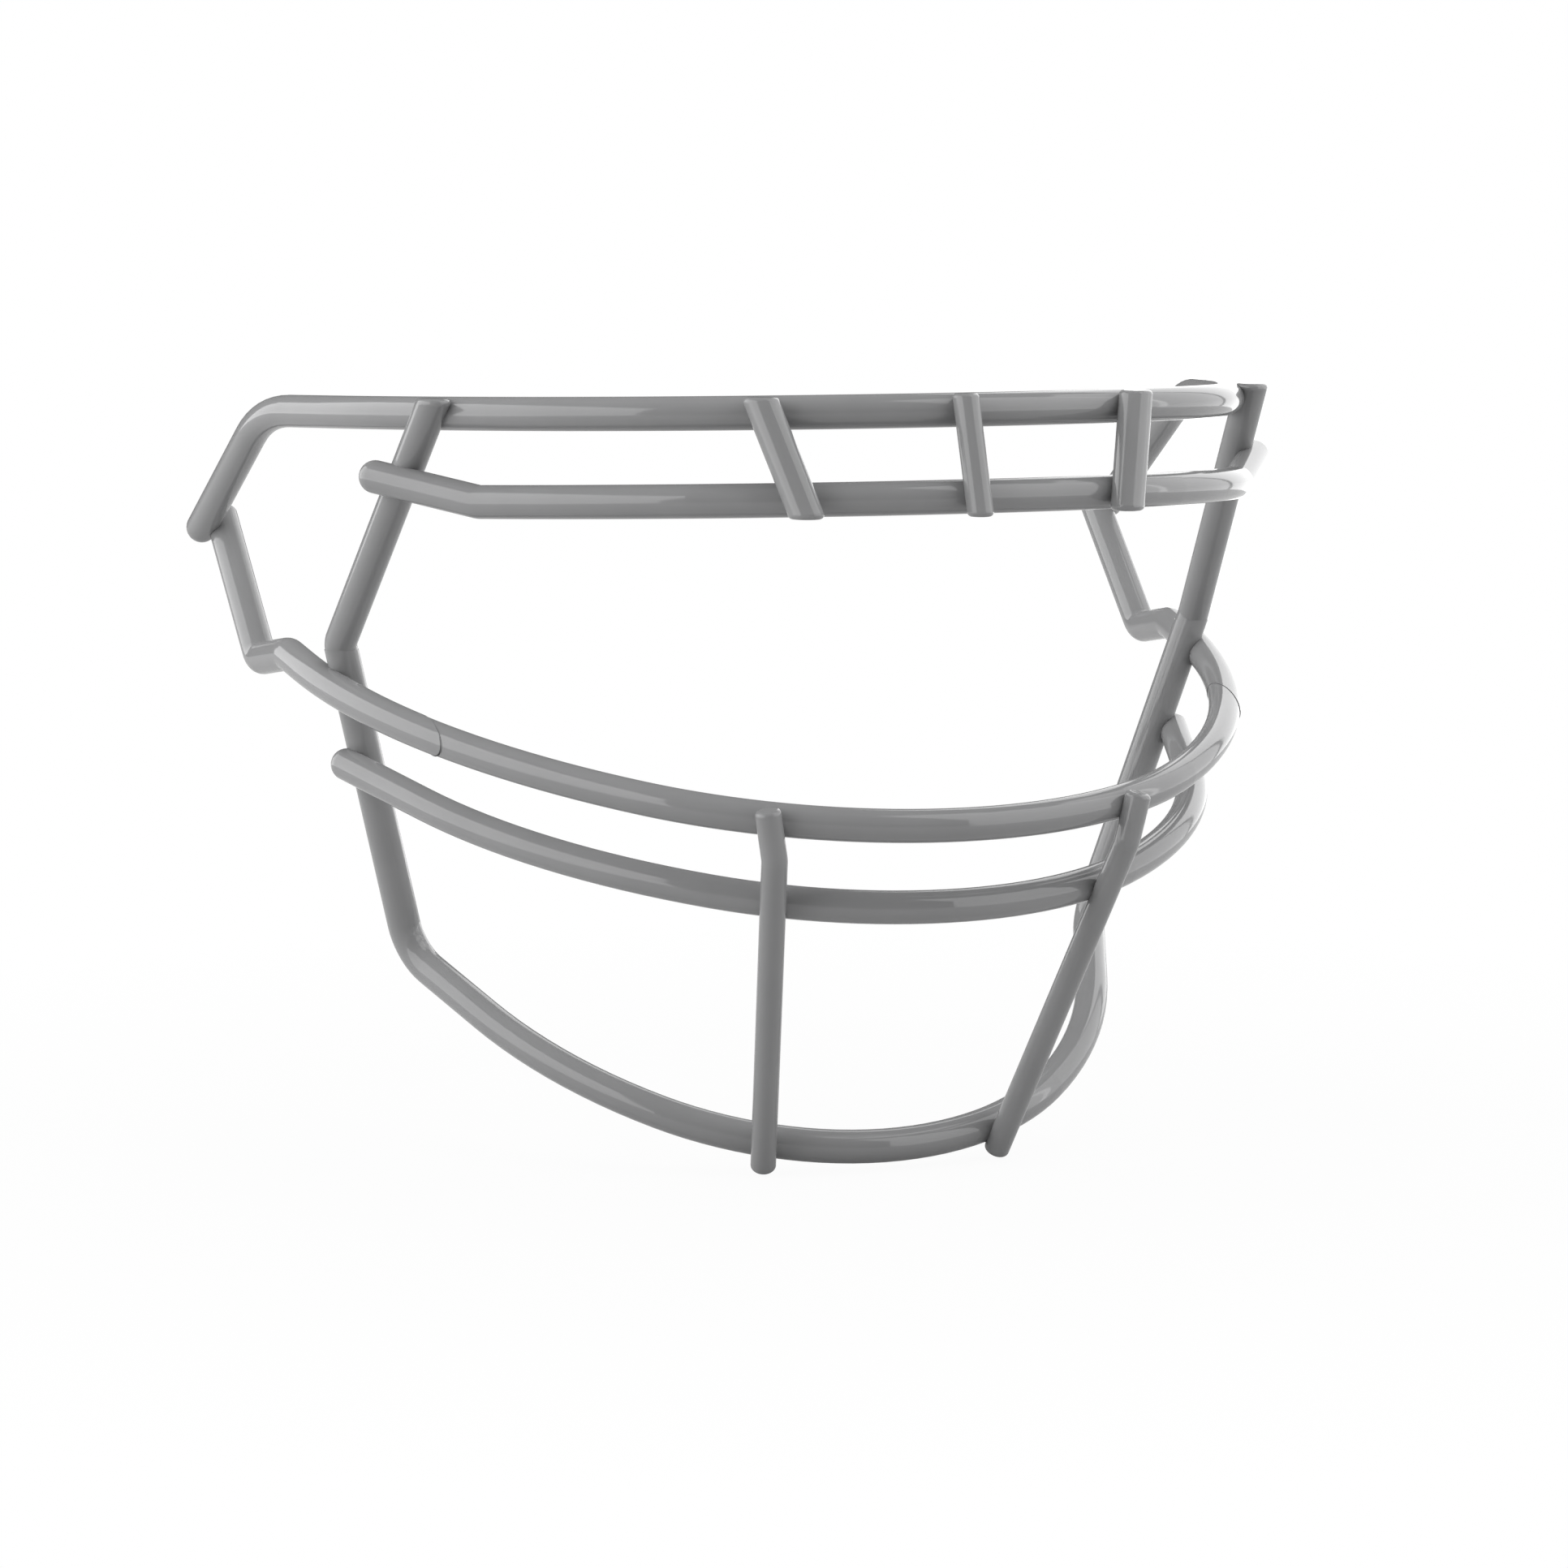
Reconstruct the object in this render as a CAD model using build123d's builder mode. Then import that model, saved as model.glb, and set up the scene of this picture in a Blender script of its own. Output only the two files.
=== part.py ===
# Football helmet facemask: a cage of welded round steel wires, each inside its polymer coat.
# Millimetres. +Z up, the wearer looks along -Y, the wearer's left is +X, X = 0 is the middle.
# The origin is the middle of the brow bar's centre line, where the helmet's brow clips hold the mask.
import os
from math import asin, atan2, cos, pi, radians, sin, sqrt

from build123d import *

os.makedirs("parts", exist_ok=True)

# wire stock and coat
thick_steel = 6.35
thin_steel = 4.76
coat_thickness = 0.375
# how far two wires sink into each other where they are welded
weld_sink = 0.2
upright_weld_sink = 2.0
temple_weld_sink = 2.4
leg_weld_sink = 1.5
loop_weld_sink = 1.8
post_weld_sink = 0.3
# rounding of the coat at a cropped wire end
end_rounding = 1.0
# at a seam the coat of the side loop and of the leg stands a little proud of the next wire's coat
seam_step = 0.12

# brow bar: from its middle at the origin a wide arc to each side, a straight, and the side arms
brow_drop = 4.3
brow_corner_x = 111.8
brow_corner_y = 128.0
brow_front_radius = 97.6
brow_front_angle = 60.0
brow_straight = 30.0
brow_corner_radius = 40.1
# side arms: straight from the brow bar's corners, back and down
arm_end_x = 113.6
arm_end_y = 175.0
arm_end_z = -33.2

# lower brow bar: over the eye opening, with a short end section that turns back at each temple
lower_brow_front_y = -6.0
lower_brow_front_z = -17.5
lower_brow_drop = 2.5
lower_brow_corner_x = 87.7
lower_brow_corner_y = 49.0
lower_brow_front_radius = 91.1
lower_brow_front_angle = 36.6
lower_brow_straight = 7.0
temple_bend_radius = 6.0
temple_weld_z = -15.4
temple_overrun = 4.9

# upper mouth bar and the side loops that carry on from its seams, which are cut upright
upper_mouth_front_y = -3.7
upper_mouth_front_z = -85.7
upper_mouth_rise = 27.6
shoulder_x = 107.4
shoulder_y = 125.7
upper_mouth_front_radius = 86.7
upper_mouth_front_angle = 45.0
upper_mouth_straight = 9.0
loop_seam_x = 93.4
# the loop steps back from its shoulder, turns up and ends behind the side arm
shoulder_radius = 6.5
loop_corner_x = 108.6
loop_corner_y = 144.4
loop_corner_z = -60.8
loop_corner_radius = 5.0
loop_weld_back = 2.0
loop_overrun = 3.0

# lower mouth bar
lower_mouth_front_y = 4.3
lower_mouth_front_z = -103.8
lower_mouth_front_radius = 77.7
lower_mouth_front_angle = 37.2
lower_mouth_straight = 28.8
lower_mouth_weld_z = -79.6
lower_mouth_overrun = 0.4

# chin bar: front arc, side arcs, then a leg up each side to the seam with the side upright
chin_front_y = 39.3
chin_front_z = -160.7
chin_corner_x = 82.6
chin_corner_y = 116.5
chin_corner_z = -125.1
chin_front_radius = 66.9
chin_front_angle = 43.0
chin_straight = 27.8
chin_corner_bend_radius = 10.0
leg_weld_x = 104.9
seam_rise = 6.6

# side uprights: from the seam on the leg up to the brow bar
upright_bend_radius = 4.6
upright_lead = 0.05
upright_brow_weld_x = 91.6
upright_overrun = 5.8

# front uprights: thin wires over both mouth bars and the chin bar
front_upright_top_x = 38.7
front_upright_middle_x = 35.2
front_upright_bottom_x = 25.6
front_upright_bend_rise = 14.7
front_upright_inside_bend = 0.4
front_upright_top_overrun = 3.8
front_upright_bottom_overrun = 3.4

# brow posts between the two brow bars
brow_post_top_x = 39.3
brow_post_bottom_x = 34.7
brow_post_top_overrun = 2.1
brow_post_bottom_overrun = 5.7

# derived wire sizes
thick_core = thick_steel / 2
thin_core = thin_steel / 2
thin_bend = thin_core + coat_thickness + front_upright_inside_bend
proud_coat = coat_thickness + seam_step
thin_weld = thick_core + thin_core - weld_sink
upright_weld = 2 * thick_core - upright_weld_sink
temple_weld = 2 * thick_core - temple_weld_sink
leg_gap = 2 * thick_core - leg_weld_sink
loop_weld = 2 * thick_core - loop_weld_sink
post_weld = 2 * thick_core - post_weld_sink
centre_post_weld = thick_core + thin_core - post_weld_sink

OUTWARD = Vector(0, -1, 0)
LEFT = Vector(1, 0, 0)


# A bar that lies in one tilted plane: a front arc, a side arc and a straight towards its corner.
# The side arc's radius follows from the corner, so that the bar always arrives there.
class Bar:
    def __init__(self, middle, corner, front_radius, front_angle, straight):
        self.middle = middle
        self.corner = corner
        self.back = Vector(0, corner.Y - middle.Y, corner.Z - middle.Z)
        self.depth = self.back.length
        self.back = self.back.normalized()
        self.front_radius = front_radius
        self.turn = radians(front_angle)
        start_x = front_radius * sin(self.turn)
        start_y = front_radius * (1 - cos(self.turn))
        along_x, along_y = cos(self.turn), sin(self.turn)
        gap_x = corner.X - start_x
        gap_y = self.depth - start_y
        ahead = gap_x * along_x + gap_y * along_y
        aside = gap_y * along_x - gap_x * along_y
        self.side_radius = (ahead**2 + aside**2 - straight**2) / (2 * aside)
        self.centre_x = start_x - self.side_radius * along_y
        self.centre_y = start_y + self.side_radius * along_x
        self.start_x = start_x
        reach = atan2(self.depth - self.centre_y, corner.X - self.centre_x)
        self.end_turn = reach - atan2(straight, self.side_radius) + pi / 2
        self.end_x = self.centre_x + self.side_radius * sin(self.end_turn)

    # a place in the bar's plane: across from the middle, and back from its front
    def place(self, across, behind):
        return self.middle + LEFT * across + self.back * behind

    def heading(self, turn):
        return LEFT * cos(turn) + self.back * sin(turn)

    def on_front(self, turn):
        radius = self.front_radius
        return self.place(radius * sin(turn), radius * (1 - cos(turn)))

    def on_side(self, turn):
        radius = self.side_radius
        return self.place(self.centre_x + radius * sin(turn), self.centre_y - radius * cos(turn))

    # centre line point and direction at a given distance across from the middle plane
    def at(self, across):
        if across <= self.start_x:
            turn = asin(across / self.front_radius)
            return self.on_front(turn), self.heading(turn)
        if across <= self.end_x:
            turn = asin((across - self.centre_x) / self.side_radius)
            return self.on_side(turn), self.heading(turn)
        heading = self.heading(self.end_turn)
        return self.corner + heading * ((across - self.corner.X) / heading.X), heading

    def turn_at(self, across):
        return asin((across - self.centre_x) / self.side_radius)

    # draws both arcs, or only the side arc's stretch between two turns
    def draw_front(self):
        ThreePointArc(self.middle, self.on_front(self.turn / 2), self.on_front(self.turn))

    def draw_side(self, first, last):
        ThreePointArc(self.on_side(first), self.on_side((first + last) / 2), self.on_side(last))


# Centre of a wire that is welded against the wire at a point: both directions and the side it is on.
def against(point, heading, other, distance, side):
    across = heading.cross(other).normalized()
    if across.dot(side) < 0:
        across = -across
    return point + across * distance


# A straight wire laid over two others: its two weld points, found by settling them in turn.
def laid_over(first, second, first_gap, second_gap, side):
    start, end = first[0], second[0]
    for _ in range(6):
        other = end - start
        start = against(first[0], first[1], other, first_gap, side)
        end = against(second[0], second[1], other, second_gap, side)
    return start, end


# A straight wire from a fixed point to its weld on another wire.
def reached_from(point, target, gap, side):
    end = target[0]
    for _ in range(6):
        end = against(target[0], target[1], end - point, gap, side)
    return end


def beyond(start, end, overrun):
    return end + (end - start).normalized() * overrun


# the bars' planes and corners
brow = Bar(
    Vector(0, 0, 0),
    Vector(brow_corner_x, brow_corner_y, -brow_drop),
    brow_front_radius,
    brow_front_angle,
    brow_straight,
)
lower_brow = Bar(
    Vector(0, lower_brow_front_y, lower_brow_front_z),
    Vector(lower_brow_corner_x, lower_brow_corner_y, lower_brow_front_z - lower_brow_drop),
    lower_brow_front_radius,
    lower_brow_front_angle,
    lower_brow_straight,
)
upper_mouth = Bar(
    Vector(0, upper_mouth_front_y, upper_mouth_front_z),
    Vector(shoulder_x, shoulder_y, upper_mouth_front_z + upper_mouth_rise),
    upper_mouth_front_radius,
    upper_mouth_front_angle,
    upper_mouth_straight,
)
chin = Bar(
    Vector(0, chin_front_y, chin_front_z),
    Vector(chin_corner_x, chin_corner_y, chin_corner_z),
    chin_front_radius,
    chin_front_angle,
    chin_straight,
)

# leg: from the chin bar's corner, inside the upper mouth bar's side, to the seam
leg_weld = reached_from(chin.corner, upper_mouth.at(leg_weld_x), leg_gap, -LEFT)
leg_way = (leg_weld - chin.corner).normalized()
seam = leg_weld + leg_way * seam_rise

# side upright: bends at the seam, lies outside the brow bar and inside the temple section
foot_rise = upright_bend_radius
for _ in range(8):
    upright_foot = seam + leg_way * foot_rise
    upright_top = reached_from(
        upright_foot, brow.at(upright_brow_weld_x), upright_weld, LEFT + OUTWARD
    )
    foot_bend = (upright_top - upright_foot).normalized().dot(leg_way)
    foot_rise = upright_lead + upright_bend_radius * sqrt((1 - foot_bend) / (1 + foot_bend))
upright_way = (upright_top - upright_foot).normalized()
upright_end = upright_top + upright_way * upright_overrun

# temple section of the lower brow bar: over the side upright, on its outside
temple_level = (temple_weld_z - upright_foot.Z) / upright_way.Z
temple_spot = upright_foot + upright_way * temple_level
temple_weld_point = reached_from(
    lower_brow.corner, (temple_spot, upright_way), temple_weld, LEFT + OUTWARD
)
temple_end = beyond(lower_brow.corner, temple_weld_point, temple_overrun)

# lower mouth bar: its ends lie outside the legs
leg_level = (lower_mouth_weld_z - chin.corner.Z) / leg_way.Z
leg_spot = chin.corner + leg_way * leg_level
lower_mouth_middle = Vector(0, lower_mouth_front_y, lower_mouth_front_z)
lower_mouth_corner = leg_spot + LEFT * leg_gap
for _ in range(6):
    lower_mouth = Bar(
        lower_mouth_middle,
        lower_mouth_corner,
        lower_mouth_front_radius,
        lower_mouth_front_angle,
        lower_mouth_straight,
    )
    lower_mouth_way = lower_mouth.heading(lower_mouth.end_turn)
    lower_mouth_corner = against(leg_spot, leg_way, lower_mouth_way, leg_gap, LEFT)
lower_mouth_end = lower_mouth.corner + lower_mouth_way * lower_mouth_overrun

# side arm and the loop that ends behind it
arm_end = Vector(arm_end_x, arm_end_y, arm_end_z)
arm_way = (arm_end - brow.corner).normalized()
loop_corner = Vector(loop_corner_x, loop_corner_y, loop_corner_z)
loop_top = reached_from(
    loop_corner, (arm_end - arm_way * loop_weld_back, arm_way), loop_weld, -LEFT
)
loop_end = beyond(loop_corner, loop_top, loop_overrun)

# front uprights and brow posts
front_foot, front_middle = laid_over(
    chin.at(front_upright_bottom_x),
    lower_mouth.at(front_upright_middle_x),
    thin_weld,
    thin_weld,
    OUTWARD,
)
front_bottom = beyond(front_middle, front_foot, front_upright_bottom_overrun)
front_bend = beyond(front_foot, front_middle, front_upright_bend_rise)
front_top = reached_from(front_bend, upper_mouth.at(front_upright_top_x), thin_weld, OUTWARD)
front_end = beyond(front_bend, front_top, front_upright_top_overrun)

post_top, post_bottom = laid_over(
    brow.at(brow_post_top_x), lower_brow.at(brow_post_bottom_x), post_weld, post_weld, OUTWARD
)
centre_top, centre_bottom = laid_over(
    brow.at(0), lower_brow.at(0), centre_post_weld, centre_post_weld, OUTWARD
)


# Centre lines. Those of bars run from the middle to the left end, the others from end to end.
# The inset shortens the cropped ends, so that a wire ends inside its coat. The reach lengthens the
# ends that a level or upright cut crops after the sweep.
def brow_run(inset, reach):
    brow.draw_front()
    brow.draw_side(brow.turn, brow.end_turn)
    start = brow.on_side(brow.end_turn)
    FilletPolyline(start, brow.corner, arm_end, radius=(brow_corner_radius,))


def lower_brow_run(inset, reach):
    lower_brow.draw_front()
    lower_brow.draw_side(lower_brow.turn, lower_brow.end_turn)
    start = lower_brow.on_side(lower_brow.end_turn)
    FilletPolyline(start, lower_brow.corner, temple_end, radius=(temple_bend_radius,))


def upper_mouth_run(inset, reach):
    upper_mouth.draw_front()
    upper_mouth.draw_side(upper_mouth.turn, upper_mouth.turn_at(loop_seam_x + reach))


def loop_run(inset, reach):
    upper_mouth.draw_side(upper_mouth.turn_at(loop_seam_x - reach), upper_mouth.end_turn)
    start = upper_mouth.on_side(upper_mouth.end_turn)
    end = beyond(loop_corner, loop_end, -inset)
    bends = (shoulder_radius, loop_corner_radius)
    FilletPolyline(start, upper_mouth.corner, loop_corner, end, radius=bends)


def lower_mouth_run(inset, reach):
    lower_mouth.draw_front()
    lower_mouth.draw_side(lower_mouth.turn, lower_mouth.end_turn)
    Line(lower_mouth.on_side(lower_mouth.end_turn), lower_mouth_end)


def chin_run(inset, reach):
    chin.draw_front()
    chin.draw_side(chin.turn, chin.end_turn)
    start = chin.on_side(chin.end_turn)
    end = beyond(chin.corner, seam, reach)
    FilletPolyline(start, chin.corner, end, radius=(chin_corner_bend_radius,))


def upright_run(inset, reach):
    start = beyond(upright_foot, seam, reach)
    end = beyond(upright_foot, upright_end, reach - inset)
    FilletPolyline(start, upright_foot, end, radius=(upright_bend_radius,))


def front_upright_run(inset, reach):
    top = beyond(front_bend, front_end, -inset)
    bottom = beyond(front_bend, front_bottom, -inset)
    FilletPolyline(top, front_bend, bottom, radius=(thin_bend,))


def post_run(inset, reach):
    Line(
        beyond(post_bottom, post_top, brow_post_top_overrun + reach - inset),
        beyond(post_top, post_bottom, brow_post_bottom_overrun + reach - inset),
    )


def centre_post_run(inset, reach):
    Line(
        beyond(centre_bottom, centre_top, brow_post_top_overrun + reach - inset),
        beyond(centre_top, centre_bottom, brow_post_bottom_overrun + reach - inset),
    )


# A round bar along a centre line. An end is left flat, is a half ball, is cut square to the wire and
# rounded, or is cut by a level or an upright plane. A level cut is rounded unless it is a seam.
def round_bar(run, radius, inset, rounding, start, end, whole):
    with BuildLine() as centre_line:
        run(inset, 0)
    ends = ((centre_line.line @ 0, start), (centre_line.line @ 1, end))
    with BuildLine() as longer_line:
        run(inset, 2 * radius)
    path = longer_line.line
    with BuildPart() as bar:
        with BuildLine():
            add(path)
        with BuildSketch(Plane(path @ 0, z_dir=path % 0)):
            Circle(radius)
        sweep()
        for place, finish in ends:
            if finish == "ball":
                with Locations(place):
                    Sphere(radius)
            inward = bar.part.center() - place
            if finish in ("level", "level seam"):
                split(bisect_by=Plane(place, z_dir=Vector(0, 0, inward.Z)), keep=Keep.TOP)
            if finish == "upright seam":
                split(bisect_by=Plane(place, z_dir=Vector(inward.X, 0, 0)), keep=Keep.TOP)
            if finish in ("round", "level"):
                rims = bar.edges().sort_by(lambda rim: (rim.center() - place).length)
                fillet(rims[0], rounding)
        if whole:
            mirror(about=Plane.YZ)
    return bar.part


def other_side(solid):
    with BuildPart() as twin:
        add(solid)
        mirror(about=Plane.YZ, mode=Mode.REPLACE)
    return twin.part


# Every wire: its centre line, steel radius, coat, the finish of its two ends, and where it is.
# A bar spans both sides of the middle plane, and a pair has a left and a right wire.
WIRES = {
    "brow_bar": (brow_run, thick_core, coat_thickness, "flat", "ball", "bar"),
    "lower_brow_bar": (lower_brow_run, thick_core, coat_thickness, "flat", "ball", "bar"),
    "upper_mouth_bar": (
        upper_mouth_run,
        thick_core,
        coat_thickness,
        "flat",
        "upright seam",
        "bar",
    ),
    "side_loop": (loop_run, thick_core, proud_coat, "upright seam", "round", "pair"),
    "lower_mouth_bar": (lower_mouth_run, thick_core, coat_thickness, "flat", "ball", "bar"),
    "chin_bar": (chin_run, thick_core, proud_coat, "flat", "level seam", "bar"),
    "side_upright": (upright_run, thick_core, coat_thickness, "level seam", "level", "pair"),
    "front_upright": (front_upright_run, thin_core, coat_thickness, "round", "round", "pair"),
    "brow_post": (post_run, thick_core, coat_thickness, "level", "level", "pair"),
    "centre_brow_post": (centre_post_run, thin_core, coat_thickness, "level", "level", "middle"),
}

# Which wires each wire is welded onto. Those keep their round section, and it is seated into them.
WELDED_TO = {
    "side_loop": ("brow_bar",),
    "chin_bar": ("side_loop", "lower_mouth_bar"),
    "side_upright": ("brow_bar", "lower_brow_bar"),
    "front_upright": ("upper_mouth_bar", "lower_mouth_bar", "chin_bar"),
    "brow_post": ("brow_bar", "lower_brow_bar"),
    "centre_brow_post": ("brow_bar", "lower_brow_bar"),
}


def sides_of(name):
    if WIRES[name][-1] == "pair":
        return ("_left", "_right")
    return ("",)


# the round wires and their coats, before they are seated into each other
steel = {}
coated = {}
for name, (run, radius, coat, start, end, where) in WIRES.items():
    whole = where == "bar"
    core_rounding = end_rounding - coat_thickness
    core = round_bar(run, radius, coat, core_rounding, start, end, whole)
    outer = round_bar(run, radius + coat, 0, end_rounding, start, end, whole)
    for side in sides_of(name):
        mirrored = side == "_right"
        steel[name + side] = other_side(core) if mirrored else core
        coated[name + side] = other_side(outer) if mirrored else outer

# the wires under each wire's welds, and the wires that are welded onto it
under = {piece: [] for piece in steel}
over = {piece: [] for piece in steel}
for name, bases in WELDED_TO.items():
    for side in sides_of(name):
        for base in bases:
            for base_side in sides_of(base):
                if side and base_side and side != base_side:
                    continue
                under[name + side].append(base + base_side)
                over[base + base_side].append(name + side)

for piece in steel:
    with BuildPart() as wire:
        add(steel[piece])
        for base in under[piece]:
            add(steel[base], mode=Mode.SUBTRACT)
    wire.part.label = piece + "_wire"
    export_step(wire.part, f"parts/{piece}_wire.step")

    # a coat is open where it meets the coat of a wire under it, or where steel passes through it
    with BuildPart() as coat:
        add(coated[piece])
        add(steel[piece], mode=Mode.SUBTRACT)
        for base in under[piece]:
            add(coated[base], mode=Mode.SUBTRACT)
        for other in over[piece]:
            add(steel[other], mode=Mode.SUBTRACT)
    coat.part.label = piece + "_coat"
    export_step(coat.part, f"parts/{piece}_coat.step")
    print(piece, len(wire.part.solids()), len(coat.part.solids()))
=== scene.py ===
from math import cos, pi, radians, sin, tan

import bmesh
import bpy
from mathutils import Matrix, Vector


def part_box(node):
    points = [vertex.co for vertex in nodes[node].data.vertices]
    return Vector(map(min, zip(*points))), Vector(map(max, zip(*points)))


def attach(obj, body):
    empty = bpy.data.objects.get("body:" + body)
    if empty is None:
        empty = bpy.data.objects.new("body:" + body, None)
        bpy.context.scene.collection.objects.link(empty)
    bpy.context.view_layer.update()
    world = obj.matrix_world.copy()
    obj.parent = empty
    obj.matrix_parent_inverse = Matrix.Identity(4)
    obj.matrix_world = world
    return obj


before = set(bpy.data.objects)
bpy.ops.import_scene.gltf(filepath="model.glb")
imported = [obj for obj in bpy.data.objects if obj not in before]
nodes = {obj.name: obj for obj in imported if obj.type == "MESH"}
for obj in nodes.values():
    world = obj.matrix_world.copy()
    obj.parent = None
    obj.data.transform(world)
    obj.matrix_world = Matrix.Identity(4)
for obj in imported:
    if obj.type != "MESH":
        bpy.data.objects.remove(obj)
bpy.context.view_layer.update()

mm = 0.001
scene = bpy.context.scene
scene.view_settings.view_transform = "Standard"


# A wrapped output socket: arithmetic on values adds Math nodes to their material.
class Value:
    def __init__(self, socket):
        self.socket = socket

    # adds any node: its settings first, then the values or links of its inputs
    @staticmethod
    def fromNode(tree, kind, settings=None, inputs=None, output=0):
        node = tree.nodes.new(kind)
        for name, setting in (settings or {}).items():
            setattr(node, name, setting)
        for name, value in (inputs or {}).items():
            if isinstance(value, Value):
                tree.links.new(value.socket, node.inputs[name])
            else:
                node.inputs[name].default_value = value
        return Value(node.outputs[output]) if len(node.outputs) else None

    @staticmethod
    def number(operation, first, second):
        tree = (first if isinstance(first, Value) else second).socket.id_data
        settings = {"operation": operation}
        return Value.fromNode(tree, "ShaderNodeMath", settings, {0: first, 1: second})

    def __add__(self, other):
        return Value.number("ADD", self, other)

    def __radd__(self, other):
        return Value.number("ADD", other, self)

    def __rsub__(self, other):
        return Value.number("SUBTRACT", other, self)

    def __mul__(self, other):
        return Value.number("MULTIPLY", self, other)


def newMaterial(name):
    material = bpy.data.materials.new(name)
    material.use_nodes = True
    material.node_tree.nodes.clear()
    return material, material.node_tree


def noise(tree, place, size, detail, roughness=0.5):
    inputs = {"Vector": place, "Scale": 1 / size, "Detail": detail, "Roughness": roughness}
    return Value.fromNode(tree, "ShaderNodeTexNoise", {}, inputs)


# maps a stretch of a value to 0..1
def between(tree, value, low, high):
    inputs = {"Value": value, "From Min": low, "From Max": high}
    return Value.fromNode(tree, "ShaderNodeMapRange", {"clamp": True}, inputs)


# blends two colours, of which the first may be a value already
def blendColours(tree, factor, first, second):
    start = first if isinstance(first, Value) else (*first, 1)
    inputs = {0: factor, 6: start, 7: (*second, 1)}
    return Value.fromNode(tree, "ShaderNodeMix", {"data_type": "RGBA"}, inputs, output=2)


# the dipped polymer coat: an even grey, a faint orange peel, and a dry rub here and there
coatFinish = {
    "grey": (0.215, 0.216, 0.218),
    "paleGrey": (0.24, 0.241, 0.243),
    "darkGrey": (0.19, 0.191, 0.193),
    "evenness": 0.75,
    "cloudSize": 14 * mm,
    "cloudDetail": 3,
    "cloudSpan": (0.3, 0.7),
    "speckSize": 0.55 * mm,
    "speckDetail": 2,
    "speckSpan": (0.62, 0.75),
    "speckShade": 0.2,
    "speckRoughness": 0.03,
    "roughness": 0.075,
    "rubRoughness": 0.06,
    "rubSize": 6 * mm,
    "rubDetail": (6, 0.65),
    "rubSpan": (0.55, 0.75),
    "peelSize": 2.4 * mm,
    "peelHeight": 0.004 * mm,
    "grainSize": 0.4 * mm,
    "grainHeight": 0.0004 * mm,
    "bumpDetail": 2,
    "refraction": 1.5,
}


def makeCoatMaterial(name, size):
    material, tree = newMaterial(name)
    place = Value.fromNode(tree, "ShaderNodeTexCoord", {}, {}, output=3)
    clouds = noise(tree, place, size["cloudSize"], size["cloudDetail"])
    clouds = between(tree, clouds, *size["cloudSpan"])
    specks = noise(tree, place, size["speckSize"], size["speckDetail"])
    specks = between(tree, specks, *size["speckSpan"])
    rubs = between(tree, noise(tree, place, size["rubSize"], *size["rubDetail"]), *size["rubSpan"])
    peel = noise(tree, place, size["peelSize"], size["bumpDetail"])
    grain = noise(tree, place, size["grainSize"], size["bumpDetail"])
    tone = blendColours(tree, clouds, size["darkGrey"], size["paleGrey"])
    evenness = size["evenness"] - specks * size["speckShade"]
    tone = blendColours(tree, evenness, tone, size["grey"])
    roughness = size["roughness"] + rubs * size["rubRoughness"] + specks * size["speckRoughness"]
    height = peel * size["peelHeight"] + grain * size["grainHeight"]
    bump = Value.fromNode(
        tree, "ShaderNodeBump", {}, {"Height": height, "Distance": 1.0, "Strength": 1.0}
    )
    surface = Value.fromNode(
        tree,
        "ShaderNodeBsdfPrincipled",
        {},
        {"Base Color": tone, "Roughness": roughness, "IOR": size["refraction"], "Normal": bump},
    )
    Value.fromNode(tree, "ShaderNodeOutputMaterial", {}, {"Surface": surface})
    return material


# the drawn steel wire inside the coat: bright, with fine die lines
steelFinish = {
    "bright": (0.60, 0.60, 0.61),
    "dull": (0.42, 0.42, 0.43),
    "patchSize": 5 * mm,
    "patchDetail": (5, 0.6),
    "patchSpan": (0.35, 0.65),
    "lineSize": 0.3 * mm,
    "lineDetail": (4, 0.7),
    "lineHeight": 0.004 * mm,
    "roughness": 0.28,
    "roughnessSpread": 0.15,
}


def makeSteelMaterial(name, size):
    material, tree = newMaterial(name)
    place = Value.fromNode(tree, "ShaderNodeTexCoord", {}, {}, output=3)
    patches = noise(tree, place, size["patchSize"], *size["patchDetail"])
    patches = between(tree, patches, *size["patchSpan"])
    lines = noise(tree, place, size["lineSize"], *size["lineDetail"])
    tone = blendColours(tree, patches, size["bright"], size["dull"])
    roughness = size["roughness"] + patches * size["roughnessSpread"]
    bump = Value.fromNode(
        tree, "ShaderNodeBump", {}, {"Height": lines * size["lineHeight"], "Distance": 1.0}
    )
    surface = Value.fromNode(
        tree,
        "ShaderNodeBsdfPrincipled",
        {},
        {"Base Color": tone, "Roughness": roughness, "Metallic": 1.0, "Normal": bump},
    )
    Value.fromNode(tree, "ShaderNodeOutputMaterial", {}, {"Surface": surface})
    return material


coatMaterial = makeCoatMaterial("greyPolymerCoat", coatFinish)
steelMaterial = makeSteelMaterial("drawnSteelWire", steelFinish)
for name, node in nodes.items():
    node.data.materials.clear()
    node.data.materials.append(coatMaterial if name.endswith("_coat") else steelMaterial)
print("wires and coats dressed:", len(nodes))

# painted shade: a dark tube in the seam where the side loops' coat meets the upper mouth bar's
# coat, thickest below
seamShadeLine = {
    "coat": "upper_mouth_bar_coat",
    "planeGap": 0.002 * mm,
    "mergeGap": 0.0001 * mm,
    "thin": 0.06 * mm,
    "thick": 0.22 * mm,
    "step": 0.3 * mm,
    "profileSides": 8,
    # the two near-black tones of the painted seam shade, mottled between them at random
    "dark": (0.018, 0.018, 0.019),
    "paleShade": (0.045, 0.045, 0.046),
    "mottleSize": 0.8 * mm,
    "mottleDetail": (4, 0.6),
    "mottleSpan": (0.4, 0.65),
    "roughness": 0.6,
    "roughnessSpread": 0.3,
}


# the painted seam shade's material: near-black, mottled at random, standing in for the shade in
# the gap
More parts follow.
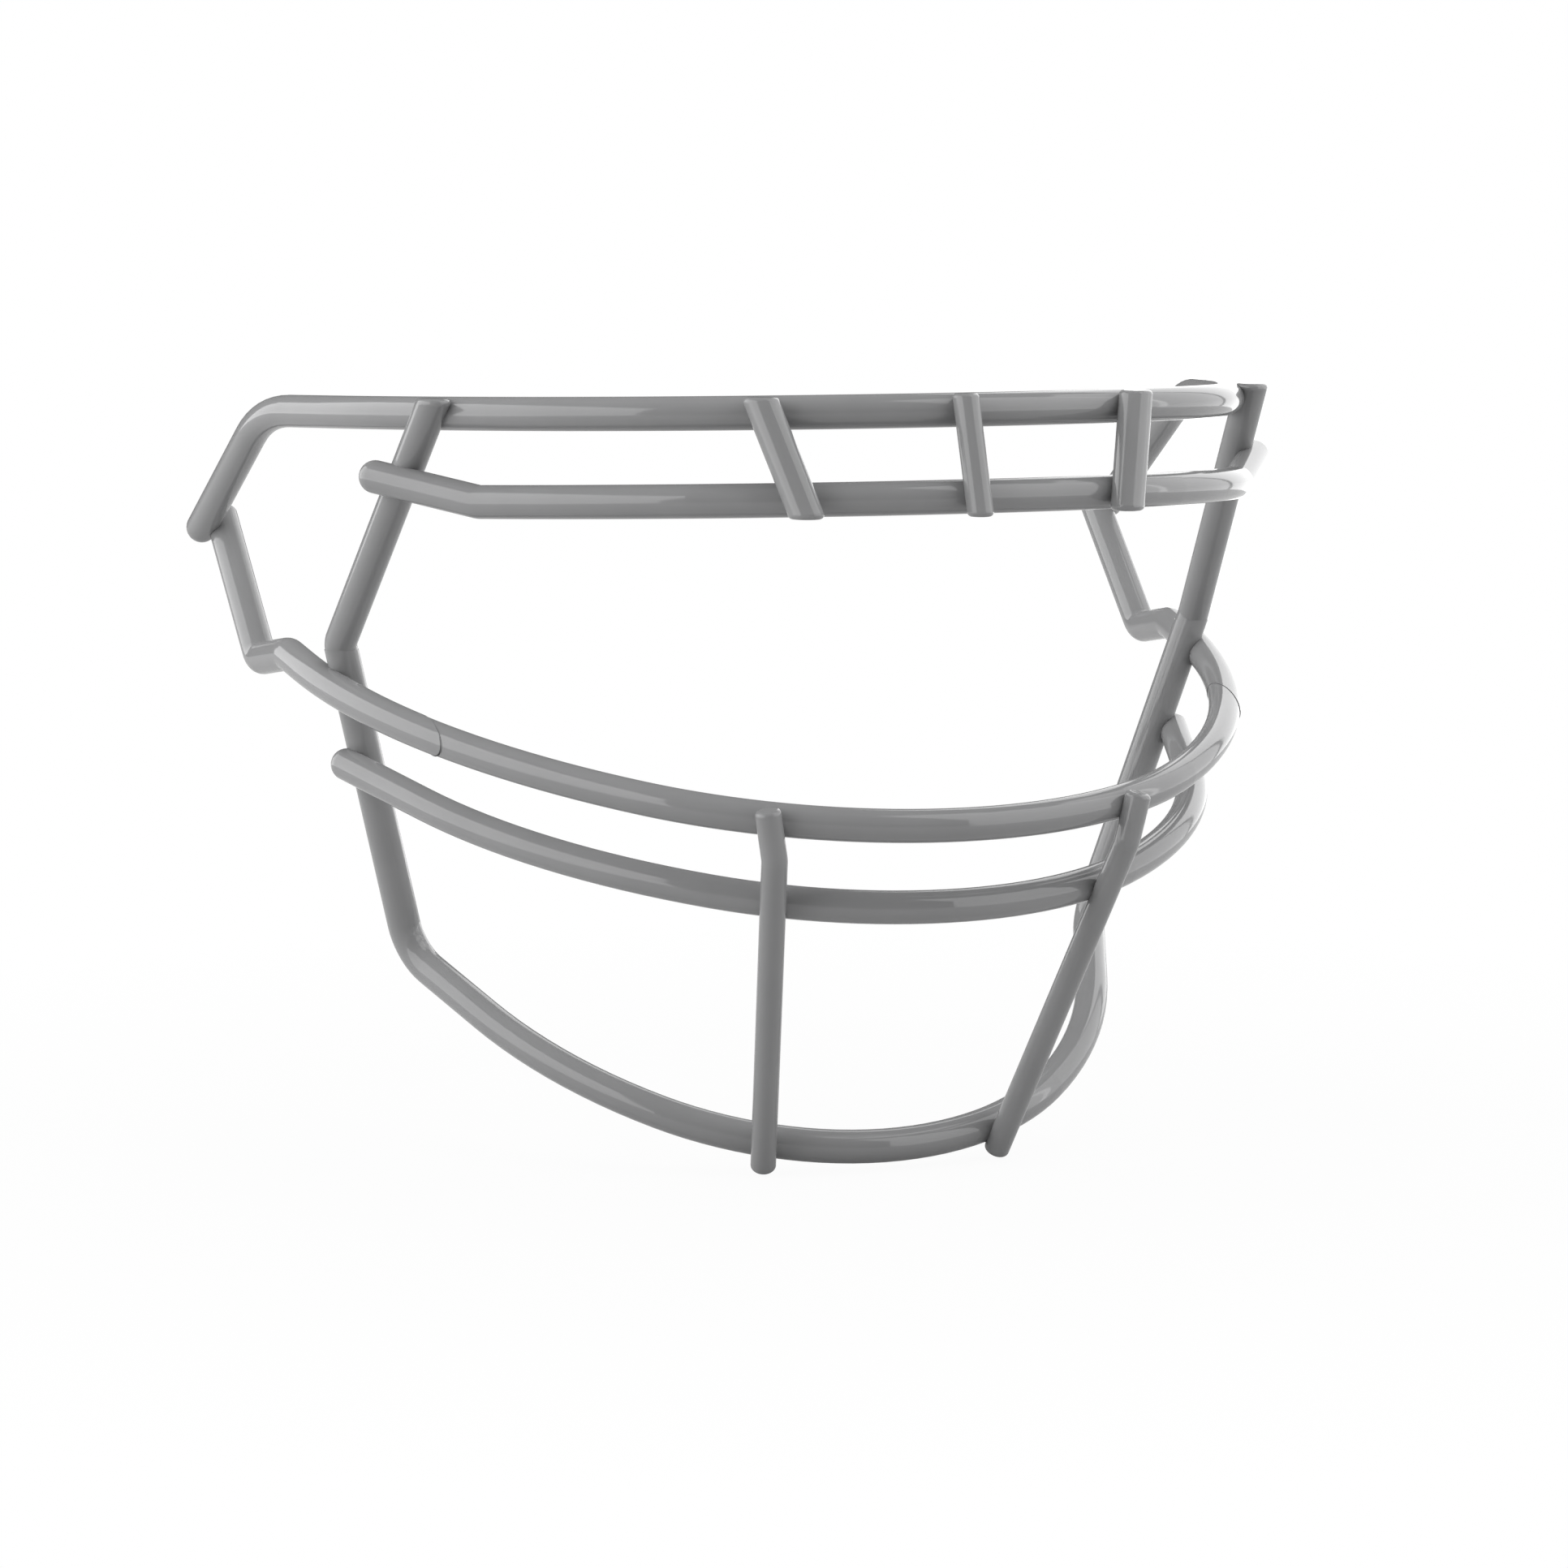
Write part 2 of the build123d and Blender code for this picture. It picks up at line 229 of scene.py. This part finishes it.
def makeSeamShadeMaterial(name, size):
    material, tree = newMaterial(name)
    place = Value.fromNode(tree, "ShaderNodeTexCoord", {}, {}, output=3)
    shadeMottle = noise(tree, place, size["mottleSize"], *size["mottleDetail"])
    shadeMottle = between(tree, shadeMottle, *size["mottleSpan"])
    tone = blendColours(tree, shadeMottle, size["dark"], size["paleShade"])
    roughness = size["roughness"] + shadeMottle * size["roughnessSpread"]
    surface = Value.fromNode(
        tree, "ShaderNodeBsdfPrincipled", {}, {"Base Color": tone, "Roughness": roughness}
    )
    Value.fromNode(tree, "ShaderNodeOutputMaterial", {}, {"Surface": surface})
    return material


# the outer rims of the bar's two cut ends, as loose edges
def makeRimMesh(name, size):
    coat = bmesh.new()
    coat.from_mesh(nodes[size["coat"]].data)
    bmesh.ops.remove_doubles(coat, verts=coat.verts, dist=size["mergeGap"])
    farthest = max(vertex.co.x for vertex in coat.verts)
    onCut = {v for v in coat.verts if abs(v.co.x) > farthest - size["planeGap"]}
    places, edges = {}, []
    for side in (1, -1):
        rim = {v for v in onCut if v.co.x * side > 0}
        middle = sum((v.co for v in rim), Vector()) / len(rim)
        for edge in coat.edges:
            walls = [face for face in edge.link_faces if not rim.issuperset(face.verts)]
            if not rim.issuperset(edge.verts) or len(walls) != 1:
                continue
            outward = sum((v.co for v in edge.verts), Vector()) / 2 - middle
            if walls[0].normal.dot(outward) > 0:
                ends = [places.setdefault(v.co.copy().freeze(), len(places)) for v in edge.verts]
                edges.append(ends)
    coat.free()
    mesh = bpy.data.meshes.new(name)
    mesh.from_pydata(list(places), edges, [])
    return mesh


# a tree that turns loose edges into closed tubes, thicker where they lie lower
def makeTubeTree(name):
    tree = bpy.data.node_groups.new(name, "GeometryNodeTree")
    sockets = {
        "Rims": "NodeSocketGeometry",
        "Thin": "NodeSocketFloat",
        "Thick": "NodeSocketFloat",
        "Top": "NodeSocketFloat",
        "Bottom": "NodeSocketFloat",
        "Step": "NodeSocketFloat",
        "Sides": "NodeSocketInt",
        "Material": "NodeSocketMaterial",
    }
    for label, kind in sockets.items():
        tree.interface.new_socket(label, in_out="INPUT", socket_type=kind)
    tree.interface.new_socket("Tubes", in_out="OUTPUT", socket_type="NodeSocketGeometry")
    entry = tree.nodes.new("NodeGroupInput")
    given = {label: Value(entry.outputs[label]) for label in sockets}
    add = Value.fromNode
    place = add(tree, "GeometryNodeInputPosition")
    height = add(tree, "ShaderNodeSeparateXYZ", {}, {0: place}, output=2)
    limits = {1: given["Top"], 2: given["Bottom"], 3: given["Thin"], 4: given["Thick"]}
    radius = add(tree, "ShaderNodeMapRange", {"clamp": True}, {0: height, **limits})
    line = add(tree, "GeometryNodeMeshToCurve", {}, {0: given["Rims"]})
    line = add(tree, "GeometryNodeResampleCurve", {"mode": "LENGTH"}, {0: line, 3: given["Step"]})
    profile = add(tree, "GeometryNodeCurvePrimitiveCircle", {}, {0: given["Sides"], 4: 1.0})
    tubes = add(tree, "GeometryNodeCurveToMesh", {}, {0: line, 1: profile, 2: radius})
    tubes = add(tree, "GeometryNodeRealizeInstances", {}, {0: tubes})
    tubes = add(tree, "GeometryNodeSetMaterial", {}, {0: tubes, 2: given["Material"]})
    add(tree, "NodeGroupOutput", {}, {0: tubes})
    return tree


# lays the painted shade: a dark tube along both cut rims of the upper mouth bar's coat
def makeSeamShadeLines(name, size):
    rims = makeRimMesh(name + "Rims", size)
    holder = bpy.data.objects.new(name, rims)
    scene.collection.objects.link(holder)
    heights = [vertex.co.z for vertex in rims.vertices]
    modifier = holder.modifiers.new("tubes", "NODES")
    modifier.node_group = makeTubeTree("rimTubes")
    values = {
        "Thin": size["thin"],
        "Thick": size["thick"],
        "Top": max(heights),
        "Bottom": min(heights),
        "Step": size["step"],
        "Sides": size["profileSides"],
        "Material": makeSeamShadeMaterial("paintedSeamShade", size),
    }
    for item in modifier.node_group.interface.items_tree:
        if item.name in values:
            modifier[item.identifier] = values[item.name]
    graph = bpy.context.evaluated_depsgraph_get()
    mesh = bpy.data.meshes.new_from_object(holder.evaluated_get(graph))
    holder.modifiers.remove(modifier)
    holder.data = mesh
    tubes = bmesh.new()
    tubes.from_mesh(mesh)
    bmesh.ops.recalc_face_normals(tubes, faces=tubes.faces)
    tubes.to_mesh(mesh)
    tubes.free()
    mesh.polygons.foreach_set("use_smooth", [True] * len(mesh.polygons))
    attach(holder, "root")
    print("seam lines made:", len(rims.edges), "rim edges,", len(mesh.polygons), "faces")


# the painted seam shade
makeSeamShadeLines("paintedSeamShadeLines", seamShadeLine)

# the camera stands where the photo's camera stood
view = {
    "place": (-441.41 * mm, -1049.27 * mm, 59.66 * mm),
    "heading": 21.02,
    "downward": 6.88,
    "lens": 126.71,
    "sensor": 36.0,
    "nearest": 0.05,
    "farthest": 60,
}


def makeCamera(size):
    data = bpy.data.cameras.new("photoCamera")
    data.lens = size["lens"]
    data.sensor_width = size["sensor"]
    data.clip_start = size["nearest"]
    data.clip_end = size["farthest"]
    camera = bpy.data.objects.new("photoCamera", data)
    camera.location = size["place"]
    camera.rotation_euler = (radians(90 - size["downward"]), 0, -radians(size["heading"]))
    scene.collection.objects.link(camera)
    scene.camera = camera


makeCamera(view)


# 1 for rays of the named kind, 0 for all others
def lightPath(tree, ray):
    node = tree.nodes.new("ShaderNodeLightPath")
    return Value(node.outputs[ray])


floorPlan = {
    "radius": 9.0,
    "gap": 0.5 * mm,
    "tone": 0.5,
    "steps": 96,
    "seenByGloss": 0.17,
    "shadowKept": 0.05,
    "shadowMiddle": (0, 85 * mm),
    "shadowReach": (130 * mm, 330 * mm),
}


# the camera sees the pale floor as white, less a share near the mask that keeps the shadow
def makeFloor(size):
    lowest = min(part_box(name)[0].z for name in nodes)
    mesh = bpy.data.meshes.new("studioFloor")
    sheet = bmesh.new()
    bmesh.ops.create_circle(sheet, cap_ends=True, radius=size["radius"], segments=size["steps"])
    for vertex in sheet.verts:
        vertex.co.z = lowest - size["gap"]
    sheet.to_mesh(mesh)
    sheet.free()
    floor = bpy.data.objects.new("studioFloor", mesh)
    scene.collection.objects.link(floor)
    material, tree = newMaterial("paleFloor")
    place = Value.fromNode(tree, "ShaderNodeTexCoord", {}, {}, output=3)
    away = Value.fromNode(
        tree,
        "ShaderNodeVectorMath",
        {"operation": "DISTANCE"},
        {0: place, 1: (*size["shadowMiddle"], lowest - size["gap"])},
        output=1,
    )
    near = 1 - between(tree, away, *size["shadowReach"])
    seen = lightPath(tree, "Is Camera Ray") + lightPath(tree, "Is Transmission Ray")
    seen = seen + lightPath(tree, "Is Glossy Ray") * size["seenByGloss"]
    seen = seen * (1 - near * size["shadowKept"])
    matt = Value.fromNode(
        tree, "ShaderNodeBsdfDiffuse", {}, {"Color": (size["tone"],) * 3 + (1,)}
    )
    glow = Value.fromNode(tree, "ShaderNodeEmission", {}, {"Color": (1, 1, 1, 1)})
    mixed = Value.fromNode(tree, "ShaderNodeMixShader", {}, {0: seen, 1: matt, 2: glow})
    Value.fromNode(tree, "ShaderNodeOutputMaterial", {}, {"Surface": mixed})
    mesh.materials.append(material)


makeFloor(floorPlan)

# the light from all round, and the share of the white background that the gloss shows
studio = {"ambient": 0.33, "seenByGloss": 0.17}


def makeWorld(size):
    world = bpy.data.worlds.new("studio")
    world.use_nodes = True
    tree = world.node_tree
    tree.nodes.clear()
    direct = lightPath(tree, "Is Camera Ray") + lightPath(tree, "Is Transmission Ray")
    gloss = lightPath(tree, "Is Glossy Ray")
    rest = 1 - (direct + gloss)
    strength = direct + gloss * size["seenByGloss"] + rest * size["ambient"]
    sky = Value.fromNode(
        tree, "ShaderNodeBackground", {}, {"Color": (1, 1, 1, 1), "Strength": strength}
    )
    Value.fromNode(tree, "ShaderNodeOutputWorld", {}, {"Surface": sky})
    scene.world = world


makeWorld(studio)

# upright soft panels round the mask: where each starts and ends (degrees from straight ahead,
# the wearer's left is positive), its lowest and highest edge as seen from the mask, and its light
aim = Vector((0, 60 * mm, -80 * mm))
panels = {
    "leftPanel": {"from": -150, "to": -58, "low": -9, "high": 46, "far": 1.0, "light": 2.35},
    "rightPanel": {"from": 24, "to": 86, "low": -9, "high": 72, "far": 1.0, "light": 1.75},
    "sidePanel": {"from": 82, "to": 116, "low": -9, "high": 55, "far": 0.8, "light": 1.35},
    "rearPanel": {"from": 118, "to": 152, "low": -9, "high": 46, "far": 0.8, "light": 1.8},
}


def makePanel(name, size):
    middle = radians((size["from"] + size["to"]) / 2)
    half = radians((size["to"] - size["from"]) / 2)
    width = 2 * size["far"] * tan(half)
    low, high = (size["far"] * tan(radians(size[edge])) for edge in ("low", "high"))
    data = bpy.data.lights.new(name, "AREA")
    data.shape = "RECTANGLE"
    data.size = width
    data.size_y = high - low
    data.energy = size["light"] * pi * width * (high - low)
    lamp = bpy.data.objects.new(name, data)
    outward = Vector((sin(middle), -cos(middle), 0))
    lamp.location = aim + outward * size["far"] + Vector((0, 0, (low + high) / 2))
    lamp.rotation_euler = outward.to_track_quat("Z", "Y").to_euler()
    lamp.visible_camera = False
    scene.collection.objects.link(lamp)


for name, size in panels.items():
    makePanel(name, size)

# wide cloths that light the tops and the left sides, with no image of their own in the coat
cloths = {
    "overheadCloth": {"towards": (0, 0, 1), "far": 1.5, "width": 1.7, "light": 1.25},
    "leftCloth": {"towards": (-0.96, -0.12, 0.25), "far": 1.3, "width": 1.3, "light": 0.8},
}


def makeCloth(name, size):
    data = bpy.data.lights.new(name, "AREA")
    data.shape = "SQUARE"
    data.size = size["width"]
    data.energy = size["light"] * pi * size["width"] ** 2
    lamp = bpy.data.objects.new(name, data)
    outward = Vector(size["towards"]).normalized()
    lamp.location = aim + outward * size["far"]
    lamp.rotation_euler = outward.to_track_quat("Z", "Y").to_euler()
    lamp.visible_camera = False
    lamp.visible_glossy = False
    scene.collection.objects.link(lamp)


for name, size in cloths.items():
    makeCloth(name, size)
print("camera, floor and light in place")
